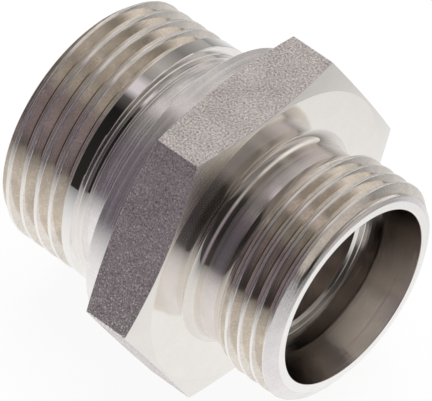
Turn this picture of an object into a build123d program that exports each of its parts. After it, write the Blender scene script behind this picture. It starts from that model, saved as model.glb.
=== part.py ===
"""Straight male stud coupling for a 22 mm tube, turned from one piece of stainless bar.

The stud, with its inch pipe thread, screws into a port until the round collar seats on it. The
other end takes the tube: a 24 degree cone, a socket with a stop, and a metric thread for the nut.
Everything is drawn as it stands in a lathe, with the turning axis along Z and the collar's
seating face at Z = 0, and the finished body is laid down at the end.
"""
import math
import os

from build123d import *

os.makedirs("parts", exist_ok=True)

# Driving dimensions in mm; radii are halves of the sizes that a drawing gives
# Hexagon and collar
ACROSS_FLATS = 41.0
BODY_LENGTH = 11.1          # from the collar's seating face to the hexagon's front face
HEX_CHAMFER_ANGLE = 15.0    # of both hexagon faces, against the face
FRONT_FACE_DIAMETER = 40.2  # flat part of the hexagon's front face
COLLAR_DIAMETER = 39.5
COLLAR_LENGTH = 2.85
COLLAR_EDGE_BREAK = 0.15

# Stud: G 1 pipe thread, 55 degrees
STUD_LENGTH = 17.6
STUD_THREAD_DIAMETER = 33.25
STUD_THREAD_PITCH = 2.309
STUD_THREAD_DEPTH = 1.479
STUD_THREAD_FLANK = 27.5
STUD_CREST_FLAT = 0.42
STUD_THREAD_RUN_OUT = 3.43  # from the land's end back to the last groove's middle at angle zero
STUD_END_CHAMFER = 1.0
STUD_LAND_END = 5.55        # from the collar's face to the step at the end of the plain land
STUD_RELIEF_DIAMETER = 31.2
STUD_RELIEF_END = 4.6       # from the collar's face to the step down to the seal's seat
SEAL_SEAT_DIAMETER = 29.9

# Tube end: M30 x 2 thread, 60 degrees
TUBE_END_LENGTH = 14.15
TUBE_THREAD_DIAMETER = 30.0
TUBE_THREAD_PITCH = 2.0
TUBE_THREAD_DEPTH = 1.227
TUBE_THREAD_FLANK = 30.0
TUBE_CREST_FLAT = 0.35
TUBE_THREAD_RUN_IN = 1.04   # from the neck's end to the first groove's middle at angle zero
TUBE_END_CHAMFER = 1.75     # radial
TUBE_CHAMFER_ANGLE = 30.0   # against the end face
TUBE_NECK_DIAMETER = 27.4
TUBE_NECK_LENGTH = 4.15     # from the hexagon's front face to where the neck begins to rise
TUBE_RISE_RADIUS = 2.0      # of the hollow rise from the neck to the thread
NECK_FILLET = 1.3

# Inside: cone, tube socket with its stop, and flow bore
TUBE_DIAMETER = 22.0
SOCKET_CLEARANCE = 0.05     # radial, between the tube and its socket
CONE_MOUTH_DIAMETER = 24.3
CONE_HALF_ANGLE = 12.0
SOCKET_DEPTH = 7.75
BORE_DIAMETER = 19.0
BORE_EDGE_BREAK = 0.35
CUT_THROUGH = 1.0           # how far a cutting tool runs past a face

# Where the body lies: turning axis along +X, a pair of flats level
LYING = Plane(origin=(0, 0, 0), x_dir=(0, 1, 0), z_dir=(1, 0, 0))

# Sizes that follow
COLLAR_RADIUS = COLLAR_DIAMETER / 2
NECK_END = BODY_LENGTH + TUBE_NECK_LENGTH
TUBE_END = BODY_LENGTH + TUBE_END_LENGTH
BORE_RADIUS = BORE_DIAMETER / 2
SOCKET_RADIUS = TUBE_DIAMETER / 2 + SOCKET_CLEARANCE


def rise(run, angle):
    """Height gained over a run at an angle in degrees."""
    return run * math.tan(math.radians(angle))


def turned(*points):
    """A solid turned about Z from the (radius, height) corners of half its section."""
    outline = Polyline(*[(r, 0, z) for r, z in points], close=True)
    return revolve(make_face(outline), Axis.Z)


def stud():
    """The stud's blank: thread cylinder with its plain land, relief, and the seat of the seal ring."""
    thread_r, relief_r, seat_r = STUD_THREAD_DIAMETER / 2, STUD_RELIEF_DIAMETER / 2, SEAL_SEAT_DIAMETER / 2
    return turned(
        (0, -STUD_LENGTH),
        (thread_r - STUD_END_CHAMFER, -STUD_LENGTH),
        (thread_r, STUD_END_CHAMFER - STUD_LENGTH),
        (thread_r, -STUD_LAND_END),
        (relief_r, -STUD_LAND_END),
        (relief_r, -STUD_RELIEF_END),
        (seat_r, -STUD_RELIEF_END),
        (seat_r, 0),
        (0, 0),
    )


def collar():
    """The round collar that seats on the port, as far as the hexagon."""
    edge = COLLAR_EDGE_BREAK
    return turned(
        (0, 0),
        (COLLAR_RADIUS - edge, 0),
        (COLLAR_RADIUS, edge),
        (COLLAR_RADIUS, COLLAR_LENGTH),
        (0, COLLAR_LENGTH),
    )


def hexagon():
    """The hexagon, its corners turned down to a shallow cone on both faces."""
    corner_r = ACROSS_FLATS / 2 / math.cos(math.radians(30)) + CUT_THROUGH
    front_r = FRONT_FACE_DIAMETER / 2
    cones = turned(
        (0, COLLAR_LENGTH),
        (COLLAR_RADIUS, COLLAR_LENGTH),
        (corner_r, COLLAR_LENGTH + rise(corner_r - COLLAR_RADIUS, HEX_CHAMFER_ANGLE)),
        (corner_r, BODY_LENGTH - rise(corner_r - front_r, HEX_CHAMFER_ANGLE)),
        (front_r, BODY_LENGTH),
        (0, BODY_LENGTH),
    )
    prism = extrude(RegularPolygon(ACROSS_FLATS / 2, 6, major_radius=False), BODY_LENGTH)
    return prism & cones


def tube_end():
    """The tube end's blank: neck, hollow rise to the thread cylinder, and the mouth's chamfer."""
    neck_r, thread_r = TUBE_NECK_DIAMETER / 2, TUBE_THREAD_DIAMETER / 2
    face_r = thread_r - TUBE_END_CHAMFER
    sweep_angle = math.acos(1 - (thread_r - neck_r) / TUBE_RISE_RADIUS)

    def on_rise(angle):
        run = TUBE_RISE_RADIUS * (1 - math.cos(angle))
        return (neck_r + run, 0, NECK_END + TUBE_RISE_RADIUS * math.sin(angle))

    outline = Polyline((0, 0, BODY_LENGTH), (neck_r, 0, BODY_LENGTH), on_rise(0))
    outline += ThreePointArc(on_rise(0), on_rise(sweep_angle / 2), on_rise(sweep_angle))
    outline += Polyline(
        on_rise(sweep_angle),
        (thread_r, 0, TUBE_END - rise(TUBE_END_CHAMFER, TUBE_CHAMFER_ANGLE)),
        (face_r, 0, TUBE_END),
        (0, 0, TUBE_END),
        (0, 0, BODY_LENGTH),
    )
    return revolve(make_face(outline), Axis.Z)


def groove_section(crest_r, pitch, depth, flank, crest_flat):
    """Section of a thread groove: flat root and two flanks, drawn a little past the crests."""
    slope = math.tan(math.radians(flank))
    past = 0.4 * crest_flat / slope
    mouth = (pitch - crest_flat) / 2 + past * slope
    root = (pitch - crest_flat) / 2 - depth * slope
    corners = (
        (crest_r - depth, 0, root),
        (crest_r + past, 0, mouth),
        (crest_r + past, 0, -mouth),
        (crest_r - depth, 0, -root),
    )
    return make_face(Polyline(*corners, close=True))


def thread_cutters(crest_r, pitch, depth, flank, crest_flat, first, turns):
    """Cutters that leave a right-hand thread: one for each turn, up from a height at angle zero."""
    section = groove_section(crest_r, pitch, depth, flank, crest_flat)
    turn = sweep(section, path=Helix(pitch, pitch, crest_r), is_frenet=True)
    return [Pos(0, 0, first + pitch * n) * turn for n in range(turns)]


def stud_thread_cutters():
    """From past the stud's end to a last turn that stops within the plain land."""
    last = -STUD_LAND_END - STUD_THREAD_RUN_OUT
    turns_below = math.ceil((last + STUD_LENGTH) / STUD_THREAD_PITCH + 0.5)
    first = last - turns_below * STUD_THREAD_PITCH
    return thread_cutters(STUD_THREAD_DIAMETER / 2, STUD_THREAD_PITCH, STUD_THREAD_DEPTH,
                          STUD_THREAD_FLANK, STUD_CREST_FLAT, first, turns_below + 1)


def tube_thread_cutters():
    """From a start in the air over the neck to past the mouth."""
    first = NECK_END + TUBE_THREAD_RUN_IN - TUBE_THREAD_PITCH
    turns = math.ceil((TUBE_END - first) / TUBE_THREAD_PITCH + 0.5)
    return thread_cutters(TUBE_THREAD_DIAMETER / 2, TUBE_THREAD_PITCH, TUBE_THREAD_DEPTH,
                          TUBE_THREAD_FLANK, TUBE_CREST_FLAT, first, turns)


def waterway():
    """What is bored out: the cone's mouth, the tube's socket, its stop and the flow bore."""
    mouth_r = CONE_MOUTH_DIAMETER / 2
    cone_end = TUBE_END - (mouth_r - SOCKET_RADIUS) / math.tan(math.radians(CONE_HALF_ANGLE))
    stop = TUBE_END - SOCKET_DEPTH
    return turned(
        (0, -STUD_LENGTH - CUT_THROUGH),
        (BORE_RADIUS + BORE_EDGE_BREAK + CUT_THROUGH, -STUD_LENGTH - CUT_THROUGH),
        (BORE_RADIUS, -STUD_LENGTH + BORE_EDGE_BREAK),
        (BORE_RADIUS, stop - BORE_EDGE_BREAK),
        (BORE_RADIUS + BORE_EDGE_BREAK, stop),
        (SOCKET_RADIUS, stop),
        (SOCKET_RADIUS, cone_end),
        (mouth_r, TUBE_END),
        (mouth_r + rise(CUT_THROUGH, CONE_HALF_ANGLE), TUBE_END + CUT_THROUGH),
        (0, TUBE_END + CUT_THROUGH),
    )


def neck_root(body):
    """The edge round the neck's root, where it meets the hexagon's front face."""
    def at_root(edge):
        height, radius = edge.arc_center.Z - BODY_LENGTH, edge.radius - TUBE_NECK_DIAMETER / 2
        return abs(height) < 0.001 and abs(radius) < 0.001
    return body.edges().filter_by(GeomType.CIRCLE).filter_by(at_root)


def coupling_body():
    """The whole fitting, standing on the lathe's axis."""
    body = stud() + collar() + hexagon() + tube_end()
    body = fillet(neck_root(body), NECK_FILLET) - waterway()
    for cutter in stud_thread_cutters() + tube_thread_cutters():
        body -= cutter
    return body


body = LYING.location * coupling_body()
export_step(body, "parts/coupling_body.step")
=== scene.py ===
"""The stud coupling body, turned from stainless bar, lying in a pale studio.

The body is one closed mesh. Its section is drawn for each column of points round the turning
axis, so the hexagon and its chamfers have true edges, and the two threads are cut into it by a
node tree with their own pitch, depth and phase. Lengths are in millimetres until a mesh is made.
"""

import logging
import math
from dataclasses import dataclass, field
from enum import Enum
from typing import Any, Sequence

import bmesh
import bpy
from mathutils import Matrix, Vector


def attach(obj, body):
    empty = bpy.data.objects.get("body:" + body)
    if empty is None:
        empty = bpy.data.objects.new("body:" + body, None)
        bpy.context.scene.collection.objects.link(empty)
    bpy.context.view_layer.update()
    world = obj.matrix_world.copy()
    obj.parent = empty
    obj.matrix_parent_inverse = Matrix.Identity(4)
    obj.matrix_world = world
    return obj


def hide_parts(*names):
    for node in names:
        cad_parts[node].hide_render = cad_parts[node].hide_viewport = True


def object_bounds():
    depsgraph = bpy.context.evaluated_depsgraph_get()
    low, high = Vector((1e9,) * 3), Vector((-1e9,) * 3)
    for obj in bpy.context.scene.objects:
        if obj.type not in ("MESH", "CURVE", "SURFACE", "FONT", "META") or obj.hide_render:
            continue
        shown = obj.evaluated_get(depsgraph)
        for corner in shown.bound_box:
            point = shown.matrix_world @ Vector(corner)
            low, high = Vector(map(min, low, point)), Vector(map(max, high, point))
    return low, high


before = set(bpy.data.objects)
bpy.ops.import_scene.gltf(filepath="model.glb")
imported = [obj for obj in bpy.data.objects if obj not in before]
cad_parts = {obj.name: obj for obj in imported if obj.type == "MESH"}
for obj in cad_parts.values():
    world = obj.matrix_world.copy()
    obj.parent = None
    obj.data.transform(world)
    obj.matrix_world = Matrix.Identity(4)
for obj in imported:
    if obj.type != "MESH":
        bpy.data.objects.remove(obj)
CAD_LOW, CAD_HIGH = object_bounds()

Colour = tuple[float, float, float]
Stops = tuple[tuple[float, Colour], ...]

MM = 0.001
FULL_TURN = 2 * math.pi
NOISE_SPREAD = 4         # noise keeps mostly within a quarter of its middle: times this, within one
PATCHES_PER_MM = 0.35
GRAIN_PER_MM = 4.0
WAVER_PER_MM = 0.08
WAVER_REACH = 1.5        # in widths of a tool mark
CHATTER_PER_MM = 0.6
CHATTER_PER_RADIAN = 60
ENDLESS = 36000.0        # degrees round the axis, more than any thread here runs
NODE = "coupling_body"
BODY = "root"
log = logging.getLogger("coupling")


class Lay(Enum):
    """Which way the marks of the last tool run over a surface."""

    TURNED = "round the axis"
    GRAINED = "no direction"


@dataclass(frozen=True)
class Finish:
    """How one machined surface looks.

    Args:
        name: the material's name.
        colour: what the steel reflects, as linear red, green and blue.
        roughness: blur of the reflection between the tool's marks.
        mark_width: spacing of the tool's marks, in mm.
        mark_slope: how steep the marks are, as a tangent.
        mottle: how much the brightness changes from place to place.
        chatter: how steep the marks across the turning direction are, as a tangent.
        lay: which way the marks run.
    """

    name: str
    colour: Colour
    roughness: float
    mark_width: float
    mark_slope: float
    mottle: float = 0.04
    chatter: float = 0.0
    lay: Lay = Lay.TURNED


class Finishes(Enum):
    """The finishes of the body, in the order of its material slots. The grooves' colour holds painted shade.
    """

    BORE = Finish("bored", (0.62, 0.575, 0.54), 0.18, 0.40, 0.08, 0.08)
    FACED = Finish("faced", (0.95, 0.93, 0.91), 0.14, 0.25, 0.08)
    CREST = Finish("thread_crest", (0.94, 0.91, 0.88), 0.18, 0.12, 0.20, 0.08)
    # The grooves' colour is darker than the crests' colour as painted shade in the thread's hollows.
    GROOVE = Finish("thread_groove_painted_shade", (0.78, 0.725, 0.66), 0.12, 0.22, 0.035, 0.22)
    RELIEF = Finish("relief", (0.90, 0.875, 0.86), 0.05, 0.50, 0.006)
    SEAT = Finish("seal_seat", (0.93, 0.895, 0.895), 0.22, 0.15, 0.17, 0.10)
    COLLAR = Finish("collar_rim", (0.93, 0.895, 0.895), 0.22, 0.15, 0.17, 0.10)
    CONE = Finish("hexagon_chamfer", (0.86, 0.83, 0.79), 0.18, 0.25, 0.08)
    FLAT = Finish("drawn_flat", (0.72, 0.665, 0.65), 0.36, 0.20, 0.20, 0.70, 0.0, Lay.GRAINED)
    FRONT = Finish("hexagon_face", (0.88, 0.845, 0.80), 0.09, 0.35, 0.03)
    NECK = Finish("neck", (0.80, 0.755, 0.71), 0.06, 0.40, 0.010, 0.06)
    RUBBED = Finish("rubbed_neck", (0.86, 0.81, 0.81), 0.16, 0.15, 0.13, 0.10)
    CHAMFER = Finish("end_chamfer", (0.86, 0.825, 0.82), 0.14, 0.20, 0.09, 0.10, 0.06)
    SEALING = Finish("sealing_cone", (0.58, 0.535, 0.495), 0.15, 0.30, 0.09, 0.14, 0.04)


SLOTS = list(Finishes)


class Value:
    """A number that a shader or geometry socket gives, for use in Python expressions."""

    def __init__(self, nodes: "Nodes", socket: bpy.types.NodeSocket) -> None:
        """Wraps a socket of the tree that nodes adds to."""
        self.nodes = nodes
        self.socket = socket

    def _math(self, operation: str, *numbers: Any) -> "Value":
        """Adds a Math node.

        Args:
            operation: the Math node's operation.
            numbers: its inputs, as values or plain numbers.

        Returns:
            The node's result.
        """
        sockets = dict(enumerate(numbers))
        return self.nodes.value("ShaderNodeMath", {"operation": operation}, sockets)

    def __add__(self, other: Any) -> "Value":
        """Sum."""
        return self._math("ADD", self, other)

    def __radd__(self, other: Any) -> "Value":
        """Sum with a number on the left."""
        return self._math("ADD", other, self)

    def __sub__(self, other: Any) -> "Value":
        """Difference."""
        return self._math("SUBTRACT", self, other)

    def __rsub__(self, other: Any) -> "Value":
        """Difference from a number on the left."""
        return self._math("SUBTRACT", other, self)

    def __mul__(self, other: Any) -> "Value":
        """Product."""
        return self._math("MULTIPLY", self, other)

    def __rmul__(self, other: Any) -> "Value":
        """Product with a number on the left."""
        return self._math("MULTIPLY", other, self)

    def __truediv__(self, other: Any) -> "Value":
        """Quotient."""
        return self._math("DIVIDE", self, other)

    def __rtruediv__(self, other: Any) -> "Value":
        """Quotient of a number on the left."""
        return self._math("DIVIDE", other, self)

    def __abs__(self) -> "Value":
        """Size without sign."""
        return self._math("ABSOLUTE", self)

    def __lt__(self, other: Any) -> "Value":
        """One where this is less, zero elsewhere."""
        return self._math("LESS_THAN", self, other)

    def __gt__(self, other: Any) -> "Value":
        """One where this is more, zero elsewhere."""
        return self._math("GREATER_THAN", self, other)

    def root(self) -> "Value":
        """Square root."""
        return self._math("SQRT", self)

    def floor(self) -> "Value":
        """Next whole number down."""
        return self._math("FLOOR", self)

    def least(self, other: Any) -> "Value":
        """The lesser of two."""
        return self._math("MINIMUM", self, other)

    def most(self, other: Any) -> "Value":
        """The greater of two."""
        return self._math("MAXIMUM", self, other)

    def eased_least(self, other: Any, ease: Any) -> "Value":
        """The lesser of two, rounded where they cross."""
        return self._math("SMOOTH_MIN", self, other, ease)

    def angle_to(self, across: Any) -> "Value":
        """Angle whose tangent is this over across, in radians."""
        return self._math("ARCTAN2", self, across)

    def tangent(self) -> "Value":
        """Tangent of an angle in radians."""
        return self._math("TANGENT", self)

    def sine(self) -> "Value":
        """Sine of an angle in radians."""
        return self._math("SINE", self)

    def cosine(self) -> "Value":
        """Cosine of an angle in radians."""
        return self._math("COSINE", self)

    def where(self, yes: Any, no: Any) -> "Value":
        """Picks yes where this is one and no where it is zero."""
        return yes * self + no * (1 - self)


class Nodes:
    """Adds nodes to one node tree."""

    def __init__(self, tree: bpy.types.NodeTree) -> None:
        """Takes a tree and empties it."""
        self.tree = tree
        tree.nodes.clear()

    def add(self, kind: str, settings: dict[str, Any] | None = None,
            sockets: dict[int | str, Any] | None = None) -> bpy.types.Node:
        """Adds one node, sets it and joins its inputs.

        Args:
            kind: the node's type.
            settings: its settings; stops gives a ramp its (place, colour) pairs.
            sockets: input name or number to a value, a socket, a number or a colour.

        Returns:
            The new node.
        """
        node = self.tree.nodes.new(kind)
        for name, setting in (settings or {}).items():
            if name == "stops":
                self._ramp(node.color_ramp, setting)
            else:
                setattr(node, name, setting)
        for key, given in (sockets or {}).items():
            self.join(given, node.inputs[key])
        return node

    def value(self, kind: str, settings: dict[str, Any] | None = None,
              sockets: dict[int | str, Any] | None = None, output: int | str = 0) -> Value:
        """Adds one node and gives one of its outputs.

        Args:
            kind: the node's type.
            settings: its settings.
            sockets: its inputs.
            output: name or number of the output.

        Returns:
            That output.
        """
        return Value(self, self.add(kind, settings, sockets).outputs[output])

    def vector(self, operation: str, *vectors: Any, output: int | str = 0) -> Value:
        """Adds a Vector Math node and gives its result."""
        return self.value("ShaderNodeVectorMath", {"operation": operation}, dict(enumerate(vectors)), output)

    def scaled(self, vector: Any, factor: Any) -> Value:
        """A vector times a number."""
        return self.value("ShaderNodeVectorMath", {"operation": "SCALE"}, {0: vector, "Scale": factor})

    def parts(self, vector: Any) -> tuple[Value, Value, Value]:
        """The X, Y and Z of a vector."""
        node = self.add("ShaderNodeSeparateXYZ", None, {0: vector})
        return tuple(Value(self, output) for output in node.outputs)

    def join(self, given: Any, socket: bpy.types.NodeSocket) -> None:
        """Links a value or socket to an input, or sets the input to a number or colour.

        Args:
            given: the value, socket, number or colour.
            socket: the input.
        """
        if isinstance(given, Value):
            given = given.socket
        if isinstance(given, bpy.types.NodeSocket):
            self.tree.links.new(given, socket)
        else:
            socket.default_value = given

    @staticmethod
    def _ramp(ramp: bpy.types.ColorRamp, stops: Stops) -> None:
        """Gives a ramp its stops.

        Args:
            ramp: the ramp, with two stops or more.
            stops: the place and colour of each, from left to right.
        """
        while len(ramp.elements) > 1:
            ramp.elements.remove(ramp.elements[-1])
        for number, (place, colour) in enumerate(stops):
            stop = ramp.elements[0] if number == 0 else ramp.elements.new(place)
            stop.position = place
            stop.color = (*colour, 1.0)


@dataclass
class SteelShader:
    """Builds the material of one finish."""

    finish: Finish

    def build(self) -> bpy.types.Material:
        """Makes the material.

        Returns:
            The material, with marks that follow the turning axis.
        """
        material = bpy.data.materials.new(self.finish.name)
        material.use_nodes = True
        nodes = Nodes(material.node_tree)
        place = nodes.value("ShaderNodeTexCoord", None, None, "Object")
        brightness = self._mottle(nodes, place)
        steel = nodes.add("ShaderNodeBsdfPrincipled", None, {
            "Base Color": self._colour(nodes, brightness),
            "Metallic": 1.0,
            "Roughness": self.finish.roughness * (1.5 - 0.5 * brightness),
            "Normal": self._normal(nodes, place),
        })
        nodes.add("ShaderNodeOutputMaterial", None, {"Surface": steel.outputs[0]})
        return material

    def _mottle(self, nodes: Nodes, place: Value) -> Value:
        """Brightness about one, in soft patches and fine grain.

        Args:
            nodes: the material's nodes.
            place: Object coordinates.

        Returns:
            The brightness.
        """
        patches = nodes.value("ShaderNodeTexNoise", None, {
            "Vector": place, "Scale": PATCHES_PER_MM / MM, "Detail": 3.0})
        grain = nodes.value("ShaderNodeTexNoise", None, {
            "Vector": place, "Scale": GRAIN_PER_MM / MM, "Detail": 2.0})
        grain_share = 0.5 if self.finish.lay is Lay.TURNED else 0.8
        mix = patches * (1 - grain_share) + grain * grain_share
        return 1 + (mix - 0.5) * (NOISE_SPREAD * self.finish.mottle)

    def _colour(self, nodes: Nodes, brightness: Value) -> Value:
        """The finish's colour times a brightness."""
        plain = nodes.add("ShaderNodeCombineXYZ", None, dict(enumerate(self.finish.colour)))
        return nodes.scaled(plain.outputs[0], brightness)

    def _normal(self, nodes: Nodes, place: Value) -> Value:
        """The surface's normal, tilted by the tool's marks.

        Args:
            nodes: the material's nodes.
            place: Object coordinates.

        Returns:
            The normal.
        """
        normal = nodes.value("ShaderNodeNewGeometry", None, None, "Normal")
        if self.finish.lay is Lay.GRAINED:
            return self._grained(nodes, place, normal)
        along = nodes.vector("NORMALIZE", nodes.vector("CROSS_PRODUCT", (1.0, 0.0, 0.0), place))
        across = nodes.vector("NORMALIZE", nodes.vector("CROSS_PRODUCT", normal, along))
        x, y, z = nodes.parts(place)
        reach = (y * y + z * z).root()
        waver = nodes.value("ShaderNodeTexNoise", None, {"Vector": place, "Scale": WAVER_PER_MM / MM})
        path = (x + reach) / (self.finish.mark_width * MM) + waver * WAVER_REACH
        marks = nodes.value("ShaderNodeTexNoise", {"noise_dimensions": "1D"}, {"W": path, "Detail": 2.0})
        tilt = (marks - 0.5) * (NOISE_SPREAD * self.finish.mark_slope)
        bent = nodes.vector("ADD", normal, nodes.scaled(across, tilt))
        if self.finish.chatter:
            spoke = nodes.add("ShaderNodeCombineXYZ", None, {
                0: reach * (CHATTER_PER_MM / MM),
                1: y / reach * CHATTER_PER_RADIAN,
                2: z / reach * CHATTER_PER_RADIAN,
            })
            ripple = nodes.value("ShaderNodeTexNoise", None, {"Vector": spoke.outputs[0], "Detail": 1.0})
            swing = (ripple - 0.5) * (NOISE_SPREAD * self.finish.chatter)
            bent = nodes.vector("ADD", bent, nodes.scaled(along, swing))
        return nodes.vector("NORMALIZE", bent)

    def _grained(self, nodes: Nodes, place: Value, normal: Value) -> Value:
        """The normal of a drawn flat, tilted every way by its grain.

        Args:
            nodes: the material's nodes.
            place: Object coordinates.
            normal: the surface's own normal.

        Returns:
            The tilted normal.
        """
        grain = nodes.value("ShaderNodeTexNoise", None, {
            "Vector": place, "Scale": 1 / (self.finish.mark_width * MM), "Detail": 3.0}, "Color")
        tilt = nodes.vector("SUBTRACT", grain, (0.5, 0.5, 0.5))
        bent = nodes.vector("ADD", normal, nodes.scaled(tilt, NOISE_SPREAD * self.finish.mark_slope))
        return nodes.vector("NORMALIZE", bent)


@dataclass(frozen=True)
class Thread:
    """A right-hand thread and the stretch of the body that it is cut into.

    Args:
        name: what the node tree's modifier is called.
        crest_radius: radius over the crests.
        pitch: advance in one turn.
        depth: from crest to root.
        flank: half of the thread's angle, in degrees.
        crest_flat: width left flat at a crest.
        groove_start: X of a groove's middle at angle zero.
        begins: X where the cut stretch begins.
        ends: X where it ends.
        blank: (X, radius) corners of the turned blank over that stretch.
        hollow: radius of a hollow rise between the blank's first two corners; zero for a straight one.
        last_angle: how far the groove runs round the axis past angle zero, in degrees.
        run_out: over how much of that the tool is drawn out, in degrees.
    """

    name: str
    crest_radius: float
    pitch: float
    depth: float
    flank: float
    crest_flat: float
    groove_start: float
    begins: float
    ends: float
    blank: tuple[tuple[float, float], ...]
    hollow: float = 0.0
    last_angle: float = ENDLESS
    run_out: float = 70.0

    def blank_radius(self, x: float) -> float:
        """Radius of the blank at a place along the axis.

        Args:
            x: the place.

        Returns:
            The radius.
        """
        start, top = self.blank[:2]
        if self.hollow and x <= top[0]:
            run = max(x - start[0], 0.0)
            return start[1] + self.hollow - math.sqrt(self.hollow ** 2 - run ** 2)
        for (x0, r0), (x1, r1) in zip(self.blank, self.blank[1:]):
            if x <= x1:
                return r0 + (r1 - r0) * (x - x0) / (x1 - x0)
        return self.blank[-1][1]

    def edge_x(self, turn: float) -> float:
        """X where the crest after the last groove begins, at a place round the axis from 0 to 1."""
        return self.groove_start + turn * self.pitch + (self.pitch - self.crest_flat) / 2

    def offsets(self, fineness: int) -> list[float]:
        """Where the rows of one pitch lie, from a groove's middle.

        They are even in the groove and close together at the crest's edges.

        Args:
            fineness: how many steps half a groove has.

        Returns:
            The distances, from zero to just under one pitch.
        """
        half, crest = (self.pitch - self.crest_flat) / 2, self.crest_flat / 2
        close, wider, on_crest = 0.03, 0.07, 0.75
        groove = [half * n / fineness for n in range(fineness)]
        edge = [half - close, half, half + close, half + wider, half + crest * on_crest]
        rising = sorted({round(x, 4) for x in groove + edge})
        return rising + [half + crest] + [self.pitch - x for x in reversed(rising[1:])]

    def rows(self, turn: float, fineness: int) -> list[tuple[float, float]]:
        """Points of the blank along one column, on lines that follow the helix.

        Args:
            turn: the column's place round the axis, from 0 to 1.
            fineness: how many steps half a groove has.

        Returns:
            (X, radius) of each row; rows past either end lie on that end.
        """
        offsets = self.offsets(fineness)
        first = math.floor((self.begins - self.groove_start) / self.pitch) - 2
        grooves = math.ceil((self.ends - self.begins) / self.pitch) + 3
        places = [self.groove_start + (first + n + turn) * self.pitch + offset
                  for n in range(grooves) for offset in offsets]
        clamped = [min(max(x, self.begins), self.ends) for x in places]
        return [(x, self.blank_radius(x)) for x in clamped]


class ThreadCutter:
    """The node tree that cuts a helical groove into a turned blank."""

    INPUTS = ("Pitch", "Crest Radius", "Depth", "Flank Angle", "Crest Flat", "Groove Start", "Begins", "Ends",
              "Edge Break", "Last Angle", "Run-Out")
    GROOVE_FROM = 0.04      # mm of cut from which a point takes the groove's finish and its painted shade
    REACH_IN = 1.5          # depths in from the crests within which points are cut
    DRAWN_OUT = 1.25        # depths by which the tool is out where a groove ends
    PAST_ENDS = 0.02        # mm by which the cut stretch is longer at each end

    def __init__(self) -> None:
        """Builds the tree, with its sizes as named inputs in metres and radians."""
        self.tree = bpy.data.node_groups.new("thread_cutter", "GeometryNodeTree")
        face = self.tree.interface
        face.new_socket("Geometry", in_out="INPUT", socket_type="NodeSocketGeometry")
        self.sockets = {name: face.new_socket(name, in_out="INPUT", socket_type="NodeSocketFloat").identifier
                        for name in self.INPUTS}
        self.sockets["Finish"] = face.new_socket("Finish", in_out="INPUT",
                                                 socket_type="NodeSocketMaterial").identifier
        face.new_socket("Geometry", in_out="OUTPUT", socket_type="NodeSocketGeometry")
        self._build()

    def _build(self) -> None:
        """Adds the nodes: groove radius, the lesser of it and the blank's, and the finish."""
        nodes = Nodes(self.tree)
        given = nodes.add("NodeGroupInput")
        size = {name: Value(nodes, given.outputs[name]) for name in self.INPUTS}
        place = nodes.value("GeometryNodeInputPosition")
        x, y, z = nodes.parts(place)
        radius = (y * y + z * z).root()
        angle = z.angle_to(y)
        groove = self._groove_radius(size, x, angle + FULL_TURN * (angle < 0.0))
        cut = radius.eased_least(groove, size["Edge Break"])
        outside = radius > size["Crest Radius"] - self.REACH_IN * size["Depth"]
        inside = (x > size["Begins"]) * (x < size["Ends"]) * outside
        scale = inside.where(cut / radius, 1.0)
        moved = nodes.value("ShaderNodeCombineXYZ", None, {0: x, 1: y * scale, 2: z * scale})
        marked = nodes.add("GeometryNodeStoreNamedAttribute", {"data_type": "FLOAT", "domain": "POINT"}, {
            "Geometry": given.outputs["Geometry"], "Name": "cut_depth", "Value": inside * (radius - cut)})
        shaped = nodes.add("GeometryNodeSetPosition", None, {
            "Geometry": marked.outputs[0], "Position": moved})
        held = nodes.add("GeometryNodeInputNamedAttribute", {"data_type": "FLOAT"}, {"Name": "cut_depth"})
        in_groove = Value(nodes, held.outputs["Attribute"]) > self.GROOVE_FROM * MM
        real = nodes.add("GeometryNodeRealizeInstances", None, {"Geometry": shaped.outputs[0]})
        dressed = nodes.add("GeometryNodeSetMaterial", None, {
            "Geometry": real.outputs[0], "Selection": in_groove, "Material": given.outputs["Finish"]})
        nodes.add("NodeGroupOutput", None, {0: dressed.outputs[0]})

    @staticmethod
    def _groove_radius(size: dict[str, Value], x: Value, angle: Value) -> Value:
        """Radius of the groove's surface, carried on past the crests.

        Args:
            size: the tree's inputs by name.
            x: place along the axis.
            angle: place round the axis, in radians, from zero to a full turn.

        Returns:
            The radius.
        """
        turns = (x - size["Groove Start"]) / size["Pitch"] - angle / FULL_TURN
        groove = (turns + 0.5).floor()
        offset = abs(turns - groove) * size["Pitch"]
        drawn = ((groove * FULL_TURN + angle - size["Last Angle"]) / size["Run-Out"] + 1).most(0.0).least(1.0)
        lift = drawn * drawn * (ThreadCutter.DRAWN_OUT * size["Depth"])
        slope = size["Flank Angle"].tangent()
        half = (size["Pitch"] - size["Crest Flat"]) / 2
        tip = half / slope
        root = (tip - size["Depth"]) / (1 / size["Flank Angle"].sine() - 1)
        flank = size["Crest Radius"] + (offset - half) / slope
        centre = size["Crest Radius"] - size["Depth"] + root
        arc = centre - (root * root - offset * offset).most(0.0).root()
        return (offset < root * size["Flank Angle"].cosine()).where(arc, flank) + lift

    def cut(self, piece: bpy.types.Object, thread: Thread, edge_break: float,
            finish: bpy.types.Material) -> None:
        """Adds the modifier that cuts one thread.

        Args:
            piece: the blank.
            thread: the thread's sizes.
            edge_break: rounding of the crests' edges, in mm.
            finish: the grooves' material, whose darker colour is painted shade.
        """
        modifier = piece.modifiers.new(thread.name, "NODES")
        modifier.node_group = self.tree
        sizes = {
            "Pitch": thread.pitch * MM,
            "Crest Radius": thread.crest_radius * MM,
            "Depth": thread.depth * MM,
            "Flank Angle": math.radians(thread.flank),
            "Crest Flat": thread.crest_flat * MM,
            "Groove Start": thread.groove_start * MM,
            "Begins": (thread.begins - self.PAST_ENDS) * MM,
            "Ends": (thread.ends + self.PAST_ENDS) * MM,
            "Edge Break": edge_break * MM,
            "Last Angle": math.radians(thread.last_angle),
            "Run-Out": math.radians(thread.run_out),
            "Finish": finish,
        }
        for name, setting in sizes.items():
            modifier[self.sockets[name]] = setting


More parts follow.
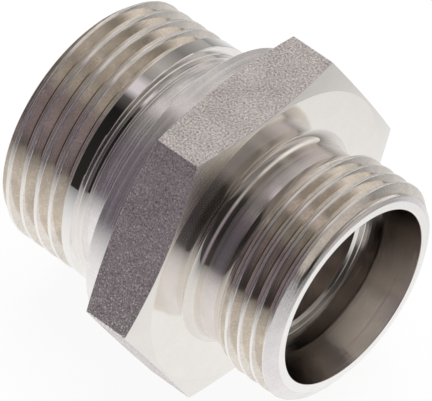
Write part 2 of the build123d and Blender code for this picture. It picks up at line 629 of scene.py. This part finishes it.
@dataclass(frozen=True)
class Corner:
    """A corner of the section.

    Args:
        x: place along the axis.
        radius: distance from the axis.
        finish: the surface that follows.
        ease: length rounded off on each side.
        steps: how many facets the rounding has.
    """

    x: float
    radius: float
    finish: Finishes
    ease: float = 0.0
    steps: int = 3


def eased(corners: Sequence[Corner]) -> list[tuple[float, float, Finishes]]:
    """Rounds the corners of an open outline.

    Args:
        corners: the outline; its first and last corners are left alone.

    Returns:
        (X, radius, finish of what follows) of each point.
    """
    points = []
    for number, corner in enumerate(corners):
        if corner.ease == 0.0 or number in (0, len(corners) - 1):
            points.append((corner.x, corner.radius, corner.finish))
            continue
        here = Vector((corner.x, corner.radius))
        back, ahead = corners[number - 1], corners[number + 1]
        before = (Vector((back.x, back.radius)) - here).normalized()
        after = (Vector((ahead.x, ahead.radius)) - here).normalized()
        middle = (before + after).normalized()
        centre = here + middle * (corner.ease / before.dot(middle))
        start, end = here + before * corner.ease - centre, here + after * corner.ease - centre
        sweep = start.angle_signed(end)
        for step in range(corner.steps + 1):
            spoke = start.copy()
            spoke.rotate(Matrix.Rotation(-sweep * step / corner.steps, 2))
            spot = centre + spoke
            points.append((spot.x, spot.y, corner.finish if step else back.finish))
    return points


@dataclass
class CouplingBody:
    """The fitting: one turned piece from the stud's end to the tube's mouth.

    A name that ends in x, end, step or from is a place along the axis, and the rest are as named.

    Args:
        corner_rounding: radius of the hexagon's corners.
        chamfer_angle: of both hexagon faces, against the face, in degrees.
        mouth_chamfer: angle of the mouth's chamfer against the end face, in degrees.
        bore_break: chamfer of both ends of the bore.
        collar_break: chamfer of the collar's edge.
        rubbed_from: where the neck's finish gets rougher.
        neck_rise: radius of the hollow rise from the neck to the thread.
        edge: length rounded off on each side of an edge.
        crest_edge: rounding of the threads' crests.
        root_ease: length rounded off in the corners at the relief and at the tube's stop.
        seat_ease: length rounded off at the seat's root and where the cone ends.
        mouth_ease: length rounded off at the mouth.
        columns_per_side: fewest columns of points on a side of the hexagon.
        column_growth: how much wider each column is than the last, away from a corner.
        fineness: how many steps half a groove has.
        seam_gap: points closer than this are joined.
        sliver: faces narrower than this are dissolved.
    """

    across_flats: float = 41.0
    corner_rounding: float = 0.25
    chamfer_angle: float = 15.0
    collar_radius: float = 19.75
    collar_end: float = 2.85
    front_radius: float = 20.1
    front_x: float = 11.1
    stud_end: float = -17.6
    stud_radius: float = 16.625
    stud_chamfer: float = 1.0
    tube_end: float = 25.25
    tube_radius: float = 15.0
    bore_radius: float = 9.5
    bore_break: float = 0.35
    collar_break: float = 0.15
    socket_radius: float = 11.05
    stop_x: float = 17.5
    mouth_radius: float = 12.15
    cone_half_angle: float = 12.0
    face_radius: float = 13.25
    mouth_chamfer: float = 30.0
    land_end: float = -5.55
    relief_step: float = -4.6
    relief_radius: float = 15.6
    seat_radius: float = 14.95
    neck_radius: float = 13.7
    neck_fillet: float = 1.3
    rubbed_from: float = 13.0
    neck_end: float = 15.25
    neck_rise: float = 2.0
    edge: float = 0.06
    crest_edge: float = 0.05
    root_ease: float = 0.12
    seat_ease: float = 0.2
    mouth_ease: float = 0.08
    columns_per_side: int = 34
    column_growth: float = 1.6
    fineness: int = 8
    seam_gap: float = 0.0005
    sliver: float = 0.0002
    stud_thread: Thread = field(init=False)
    tube_thread: Thread = field(init=False)

    def __post_init__(self) -> None:
        """Works out the two threads from where the blank has its corners."""
        stud_crest = self.stud_radius
        self.stud_thread = Thread(
            name="stud_thread", crest_radius=stud_crest, pitch=2.309, depth=1.479, flank=27.5,
            crest_flat=0.42, groove_start=-8.98,
            begins=self.stud_end + self.edge * math.sin(math.radians(45)), ends=self.land_end - self.edge,
            blank=((self.stud_end, stud_crest - self.stud_chamfer),
                   (self.stud_end + self.stud_chamfer, stud_crest), (self.land_end, stud_crest)),
            last_angle=360.0)
        crest, rise = self.tube_radius, self.neck_rise
        rise_length = math.sqrt(rise ** 2 - (rise - crest + self.neck_radius) ** 2)
        slope = math.radians(self.mouth_chamfer)
        chamfer_x = self.tube_end - (crest - self.face_radius) * math.tan(slope)
        self.tube_thread = Thread(
            name="tube_thread", crest_radius=crest, pitch=2.0, depth=1.227, flank=30.0,
            crest_flat=0.35, groove_start=16.29,
            begins=self.neck_end, ends=self.tube_end - self.edge * math.sin(slope),
            blank=((self.neck_end, self.neck_radius), (self.neck_end + rise_length, crest),
                   (chamfer_x, crest), (self.tube_end, self.face_radius)),
            hollow=rise)

    def hexagon_radius(self, angle: float) -> float:
        """Distance from the axis to the hexagon, whose corners are slightly rounded.

        Args:
            angle: place round the axis, in radians, with a corner at zero.

        Returns:
            The distance.
        """
        sixth = FULL_TURN / 6
        off_corner = (angle + sixth / 2) % sixth - sixth / 2
        reach = (self.across_flats / 2 - self.corner_rounding) / math.cos(sixth / 2)
        limit = self._corner_half_angle()
        if abs(off_corner) < limit:
            across = reach * math.sin(off_corner)
            return reach * math.cos(off_corner) + math.sqrt(self.corner_rounding ** 2 - across ** 2)
        return self.across_flats / 2 / math.cos(sixth / 2 - abs(off_corner))

    def _corner_half_angle(self) -> float:
        """Half of the angle that a rounded corner takes up, seen from the axis."""
        reach = (self.across_flats / 2 - self.corner_rounding) / math.cos(FULL_TURN / 12)
        return math.atan2(self.corner_rounding * 0.5, reach + self.corner_rounding * math.cos(FULL_TURN / 12))

    def angles(self) -> list[float]:
        """Where the columns stand: close at the hexagon's corners, and wider bit by bit between them.

        Returns:
            Their places round the axis, in radians, from zero to a full turn.
        """
        sixth = FULL_TURN / 6
        widest = sixth / self.columns_per_side
        near = [self._corner_half_angle() / 2] * 2
        while near[-1] * self.column_growth < widest:
            near.append(near[-1] * self.column_growth)
        between = sixth - 2 * sum(near)
        count = math.ceil(between / widest)
        widths = [*near, *[between / count] * count, *reversed(near)]
        places = [side * sixth + sum(widths[:n]) for side in range(6) for n in range(len(widths))]
        return [*places, FULL_TURN]

    def stud_side(self) -> list[Corner]:
        """Section from the middle of the bore to where the stud's thread begins.

        Returns:
            Its corners: bore, its chamfer, end face and end chamfer.
        """
        start = self.stud_thread.begins
        return [
            Corner(0.0, self.bore_radius, Finishes.BORE),
            Corner(self.stud_end + self.bore_break, self.bore_radius, Finishes.CONE, self.edge),
            Corner(self.stud_end, self.bore_radius + self.bore_break, Finishes.FACED, self.edge),
            Corner(self.stud_end, self.stud_radius - self.stud_chamfer, Finishes.CHAMFER, self.edge),
            Corner(start, self.stud_thread.blank_radius(start), Finishes.CREST),
        ]

    def middle(self, angle: float) -> list[Corner]:
        """Section from the end of the stud's thread to the start of the tube's.

        Args:
            angle: place round the axis, in radians.

        Returns:
            Its corners: land's end, narrow part, seat, collar, hexagon, front face and neck.
        """
        flat = self.hexagon_radius(angle)
        slope = math.tan(math.radians(self.chamfer_angle))
        back_x = self.collar_end + (flat - self.collar_radius) * slope
        front_x = self.front_x - (flat - self.front_radius) * slope
        hair, land = self.edge, self.stud_thread.crest_radius
        return [
            Corner(self.land_end - hair, land, Finishes.RELIEF),
            Corner(self.land_end, land - hair, Finishes.FACED),
            Corner(self.land_end, self.relief_radius, Finishes.RELIEF, self.root_ease, 4),
            Corner(self.relief_step, self.relief_radius, Finishes.FACED, hair),
            Corner(self.relief_step, self.seat_radius, Finishes.SEAT, hair),
            Corner(0.0, self.seat_radius, Finishes.FACED, self.seat_ease),
            Corner(0.0, self.collar_radius - self.collar_break, Finishes.CONE, hair / 2),
            Corner(self.collar_break, self.collar_radius, Finishes.COLLAR, hair / 2),
            Corner(self.collar_end, self.collar_radius, Finishes.CONE, hair),
            Corner(back_x, flat, Finishes.FLAT, hair),
            Corner(front_x, flat, Finishes.CONE, hair),
            Corner(self.front_x, self.front_radius, Finishes.FRONT, hair),
            Corner(self.front_x, self.neck_radius, Finishes.NECK, self.neck_fillet, 10),
            Corner(self.rubbed_from, self.neck_radius, Finishes.RUBBED),
            Corner(self.neck_end, self.neck_radius, Finishes.NECK),
        ]

    def tube_side(self) -> list[Corner]:
        """Section from the end of the tube's thread, through the mouth, to the middle of the bore.

        Returns:
            Its corners: end chamfer, end face, sealing cone, socket, stop and bore.
        """
        end = self.tube_thread.ends
        cone_end = self.tube_end - (self.mouth_radius - self.socket_radius) / math.tan(
            math.radians(self.cone_half_angle))
        return [
            Corner(end, self.tube_thread.blank_radius(end), Finishes.CHAMFER),
            Corner(self.tube_end, self.face_radius, Finishes.FACED, self.edge),
            Corner(self.tube_end, self.mouth_radius, Finishes.SEALING, self.mouth_ease),
            Corner(cone_end, self.socket_radius, Finishes.BORE, self.seat_ease),
            Corner(self.stop_x, self.socket_radius, Finishes.FACED, self.root_ease),
            Corner(self.stop_x, self.bore_radius + self.bore_break, Finishes.CONE, self.edge),
            Corner(self.stop_x - self.bore_break, self.bore_radius, Finishes.BORE, self.edge),
            Corner(0.0, self.bore_radius, Finishes.BORE),
        ]

    def _column(self, angle: float) -> list[tuple[float, float, Finishes]]:
        """All points of the section at one angle.

        Args:
            angle: place round the axis, in radians.

        Returns:
            (X, radius, finish of what follows) of each point.
        """
        turn = angle / FULL_TURN
        stud = [(x, r, self._stud_finish(x, turn)) for x, r in self.stud_thread.rows(turn, self.fineness)]
        tube = [(x, r, self._tube_finish(x)) for x, r in self.tube_thread.rows(turn, self.fineness)]
        return [*eased(self.stud_side())[:-1], *stud, *eased(self.middle(angle))[1:-1], *tube,
                *eased(self.tube_side())[1:]]

    def _stud_finish(self, x: float, turn: float) -> Finishes:
        """Finish of the stud's blank.

        Args:
            x: place along the axis.
            turn: place round the axis, from 0 to 1.

        Returns:
            The end chamfer's finish, the crests', or the plain land's.
        """
        if x < self.stud_thread.blank[1][0]:
            return Finishes.CHAMFER
        before_row = 0.01
        return Finishes.CREST if x < self.stud_thread.edge_x(turn) - before_row else Finishes.RELIEF

    def _tube_finish(self, x: float) -> Finishes:
        """Finish of the tube end's blank.

        Args:
            x: place along the axis.

        Returns:
            The neck's finish, the crests', or the end chamfer's.
        """
        corners = self.tube_thread.blank
        if x < corners[1][0]:
            return Finishes.NECK
        return Finishes.CREST if x < corners[2][0] else Finishes.CHAMFER

    def blank(self, materials: dict[Finishes, bpy.types.Material]) -> bpy.types.Object:
        """Makes the blank: every column joined to the next, and the seams closed.

        Args:
            materials: the material of each finish.

        Returns:
            The blank, one closed mesh.
        """
        angles = self.angles()
        columns = [self._column(angle) for angle in angles]
        rows = len(columns[0])
        mesh = bmesh.new()
        grid = [[mesh.verts.new((x * MM, r * math.cos(angle) * MM, r * math.sin(angle) * MM))
                 for x, r, _ in column] for angle, column in zip(angles, columns)]
        for (here, there), column in zip(zip(grid, grid[1:]), columns):
            for row in range(rows - 1):
                face = mesh.faces.new((here[row], there[row], there[row + 1], here[row + 1]))
                face.material_index = SLOTS.index(column[row][2])
                face.smooth = True
        bmesh.ops.remove_doubles(mesh, verts=mesh.verts, dist=self.seam_gap * MM)
        bmesh.ops.dissolve_degenerate(mesh, edges=mesh.edges, dist=self.sliver * MM)
        bmesh.ops.recalc_face_normals(mesh, faces=mesh.faces)
        if mesh.calc_volume(signed=True) < 0:
            bmesh.ops.reverse_faces(mesh, faces=mesh.faces)
        data = bpy.data.meshes.new("blank")
        mesh.to_mesh(data)
        mesh.free()
        for finish in SLOTS:
            data.materials.append(materials[finish])
        piece = bpy.data.objects.new("blank", data)
        bpy.context.collection.objects.link(piece)
        return piece

    def build(self) -> bpy.types.Object:
        """Turns the blank, cuts both threads and dresses the body.

        Returns:
            The finished piece.
        """
        materials = {finish: SteelShader(finish.value).build() for finish in SLOTS}
        blank = self.blank(materials)
        cutter = ThreadCutter()
        for thread in (self.stud_thread, self.tube_thread):
            cutter.cut(blank, thread, self.crest_edge, materials[Finishes.GROOVE])
        piece = as_plain(blank, "turned_body")
        weigh_normals(piece.data)
        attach(piece, BODY)
        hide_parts(NODE)
        return piece


def as_plain(source: bpy.types.Object, name: str) -> bpy.types.Object:
    """Turns an object with modifiers into one with a plain mesh.

    Args:
        source: the object; it is removed.
        name: the new object's name.

    Returns:
        The new object, at the origin.
    """
    graph = bpy.context.evaluated_depsgraph_get()
    data = bpy.data.meshes.new_from_object(source.evaluated_get(graph), preserve_all_data_layers=True,
                                           depsgraph=graph)
    data.name = name
    piece = bpy.data.objects.new(name, data)
    bpy.context.collection.objects.link(piece)
    bpy.data.objects.remove(source)
    return piece


def weigh_normals(data: bpy.types.Mesh) -> None:
    """Gives each vertex the mean of its faces' normals, weighed by area, so that broad faces stay true.

    Args:
        data: the mesh.
    """
    sums = [Vector() for _ in data.vertices]
    for face in data.polygons:
        pull = face.normal * (face.area / MM ** 2)
        for number in face.vertices:
            sums[number] += pull
    data.normals_split_custom_set_from_vertices([total.normalized() for total in sums])


@dataclass
class Studio:
    """Pale floor, a room that the steel reflects, one wide lamp, and the camera.

    The room's colours lie along an arch, from the far horizon at 0, over the part at 0.5, to the
    near horizon at 1. Where they change sideways is told by the X of a direction.

    Args:
        floor_size: length of the floor's sides, in metres.
        aim: the point that the camera looks at, in mm.
        azimuth: where the camera stands round the part, in degrees.
        elevation: how high it stands, in degrees.
        roll: how far it is turned about its line of sight, in degrees.
        distance: from the camera to the aim, in mm.
        lens: focal length, in mm.
        sensor: width of the camera's sensor, in mm.
        gap: colours of the dark gap across the room.
        room: colours of the rest of the room.
        right: colours of its right side.
        gap_way: X of the gap's middle.
        gap_half: how far from there the gap is full.
        gap_edge: how far from there it has ended.
        right_from: X where the right side begins to show.
        right_to: X where it shows in full.
        near_floor: the floor's brightness in the steel, close to the part.
        far_floor: its brightness far away.
        floor_fall: distance at which it is halfway between them, in metres.
        paper: brightness of the floor's own colour.
        glow_share: how much of what the camera and the steel see of the floor is its glow.
        lamp_size: the lamp's sides, in metres.
        lamp_power: its power, in watts.
        lamp_place: where it hangs, in metres.
    """

    floor_size: float = 0.64
    aim: tuple[float, float, float] = (3.702, -0.843, 1.417)
    azimuth: float = 41.115
    elevation: float = 47.263
    roll: float = 2.111
    distance: float = 716.45
    lens: float = 497.36
    sensor: float = 36.0
    gap: Stops = (
        (0.00, (0.44, 0.42, 0.40)),
        (0.16, (0.21, 0.20, 0.19)),
        (0.31, (0.44, 0.42, 0.39)),
        (0.39, (0.30, 0.28, 0.27)),
        (0.44, (0.68, 0.63, 0.65)),
        (0.485, (0.68, 0.63, 0.65)),
        (0.53, (0.10, 0.09, 0.085)),
        (0.60, (0.012, 0.011, 0.010)),
        (1.00, (0.022, 0.020, 0.018)),
    )
    room: Stops = (
        (0.00, (0.90, 0.89, 0.88)),
        (0.16, (1.00, 1.00, 1.00)),
        (0.24, (1.00, 1.00, 1.00)),
        (0.31, (0.78, 0.76, 0.74)),
        (0.40, (0.74, 0.72, 0.70)),
        (0.47, (0.42, 0.40, 0.38)),
        (0.63, (0.44, 0.42, 0.41)),
        (0.70, (0.30, 0.26, 0.29)),
        (1.00, (0.32, 0.28, 0.33)),
    )
    right: Stops = (
        (0.00, (0.56, 0.53, 0.51)),
        (0.06, (0.56, 0.53, 0.51)),
        (0.20, (0.26, 0.24, 0.23)),
        (0.26, (0.36, 0.34, 0.32)),
        (0.31, (0.20, 0.19, 0.18)),
        (0.50, (0.24, 0.22, 0.21)),
        (0.60, (0.035, 0.032, 0.030)),
        (0.83, (0.025, 0.023, 0.022)),
        (1.00, (0.07, 0.065, 0.065)),
    )
    gap_way: float = -0.446
    gap_half: float = 0.05
    gap_edge: float = 0.16
    right_from: float = 0.10
    right_to: float = 0.40
    near_floor: float = 1.0
    far_floor: float = 0.15
    floor_fall: float = 0.10
    paper: float = 0.92
    glow_share: float = 0.93
    lamp_size: tuple[float, float] = (1.2, 0.8)
    lamp_power: float = 14.0
    lamp_place: tuple[float, float, float] = (0.0, 0.25, 1.2)

    def build(self) -> None:
        """Makes the floor, the world, the lamp and the camera."""
        self.floor(CAD_LOW.z)
        self.world()
        self.lamp()
        self.camera()
        bpy.context.scene.view_settings.view_transform = "Standard"

    def _floor_brightness(self, nodes: Nodes) -> Value:
        """White to the camera; in the steel's reflections it gets darker with distance from the part.

        Args:
            nodes: the floor material's nodes.

        Returns:
            The brightness.
        """
        x, y, _ = nodes.parts(nodes.value("ShaderNodeTexCoord", None, None, "Object"))
        away = (x * x + y * y) / self.floor_fall ** 2
        fallen = self.far_floor + (self.near_floor - self.far_floor) / (1 + away)
        camera = Value(nodes, nodes.add("ShaderNodeLightPath").outputs["Is Camera Ray"])
        return camera.where(1.0, fallen)

    @staticmethod
    def _seen(nodes: Nodes) -> Value:
        """One for rays from the camera and from gloss.

        Args:
            nodes: the floor material's nodes.

        Returns:
            That one, or zero for other rays.
        """
        path = nodes.add("ShaderNodeLightPath")
        rays = [Value(nodes, path.outputs[name]) for name in ("Is Camera Ray", "Is Glossy Ray")]
        return (rays[0] + rays[1]).least(1.0)

    def floor(self, height: float) -> None:
        """Lays the floor.

        Args:
            height: where it lies, in metres.
        """
        half = self.floor_size / 2
        data = bpy.data.meshes.new("floor")
        data.from_pydata([(-half, -half, height), (half, -half, height), (half, half, height),
                          (-half, half, height)], [], [(0, 1, 2, 3)])
        floor = bpy.data.objects.new("floor", data)
        bpy.context.collection.objects.link(floor)
        material = bpy.data.materials.new("pale_floor")
        material.use_nodes = True
        nodes = Nodes(material.node_tree)
        paper = nodes.add("ShaderNodeBsdfDiffuse", None, {"Color": (self.paper, self.paper, self.paper, 1.0)})
        grey = self._floor_brightness(nodes)
        tone = nodes.add("ShaderNodeCombineXYZ", None, {0: grey, 1: grey, 2: grey})
        glow = nodes.add("ShaderNodeEmission", None, {"Color": tone.outputs[0], "Strength": 1.0})
        mix = nodes.add("ShaderNodeMixShader", None, {
            0: self._seen(nodes) * self.glow_share, 1: paper.outputs[0], 2: glow.outputs[0]})
        nodes.add("ShaderNodeOutputMaterial", None, {"Surface": mix.outputs[0]})
        data.materials.append(material)

    def world(self) -> None:
        """Paints the room by direction: a pale room with a dark gap across it, and a dimmer right side."""
        world = bpy.data.worlds.new("room")
        bpy.context.scene.world = world
        world.use_nodes = True
        nodes = Nodes(world.node_tree)
        way = nodes.value("ShaderNodeTexCoord", None, None, "Generated")
        x, y, z = nodes.parts(way)
        arch = z.most(0.0).angle_to(y) / math.pi
        off = ((abs(x - self.gap_way) - self.gap_half) / (self.gap_edge - self.gap_half)).most(0.0).least(1.0)
        rightward = ((x - self.right_from) / (self.right_to - self.right_from)).most(0.0).least(1.0)
        gap, room, right = (nodes.value("ShaderNodeValToRGB", {"stops": stops}, {0: arch})
                            for stops in (self.gap, self.room, self.right))
        sides = nodes.value("ShaderNodeMix", {"data_type": "RGBA"}, {0: rightward, 6: room, 7: right}, 2)
        tint = nodes.value("ShaderNodeMix", {"data_type": "RGBA"}, {0: off, 6: gap, 7: sides}, 2)
        walls = nodes.add("ShaderNodeBackground", None, {"Color": tint, "Strength": 1.0})
        white = nodes.add("ShaderNodeBackground", None, {"Color": (1.0, 1.0, 1.0, 1.0), "Strength": 1.0})
        camera = nodes.add("ShaderNodeLightPath").outputs["Is Camera Ray"]
        mix = nodes.add("ShaderNodeMixShader", None, {0: camera, 1: walls.outputs[0], 2: white.outputs[0]})
        nodes.add("ShaderNodeOutputWorld", None, {"Surface": mix.outputs[0]})

    def lamp(self) -> None:
        """Hangs one wide soft lamp overhead, a little beyond the part."""
        data = bpy.data.lights.new("overhead", "AREA")
        data.shape = "RECTANGLE"
        data.size, data.size_y = self.lamp_size
        data.energy = self.lamp_power
        lamp = bpy.data.objects.new("overhead", data)
        lamp.location = self.lamp_place
        down = Vector((0, 0, 0)) - Vector(lamp.location)
        lamp.rotation_euler = down.to_track_quat("-Z", "Y").to_euler()
        lamp.visible_glossy = False
        bpy.context.collection.objects.link(lamp)

    def camera(self) -> None:
        """Stands the camera where the photograph was taken from."""
        azimuth, elevation = math.radians(self.azimuth), math.radians(self.elevation)
        back = Vector((math.sin(azimuth) * math.cos(elevation), -math.cos(azimuth) * math.cos(elevation),
                       math.sin(elevation)))
        data = bpy.data.cameras.new("camera")
        data.sensor_width = self.sensor
        data.lens = self.lens
        data.clip_start, data.clip_end = 0.01, 100.0
        camera = bpy.data.objects.new("camera", data)
        turn = (-back).to_track_quat("-Z", "Y").to_matrix() @ Matrix.Rotation(math.radians(self.roll), 3, "Z")
        stand = (Vector(self.aim) + back * self.distance) * MM
        camera.matrix_world = Matrix.Translation(stand) @ turn.to_4x4()
        bpy.context.collection.objects.link(camera)
        bpy.context.scene.camera = camera


def main() -> None:
    """Builds the body and the studio in order."""
    logging.basicConfig(level=logging.INFO, format="%(name)s: %(message)s")
    piece = CouplingBody().build()
    faces = sum(len(face.vertices) - 2 for face in piece.data.polygons)
    log.info("%s: %d triangles", piece.name, faces)
    Studio().build()
    log.info("studio: floor, room, lamp and camera")


if __name__ == "__main__":
    main()
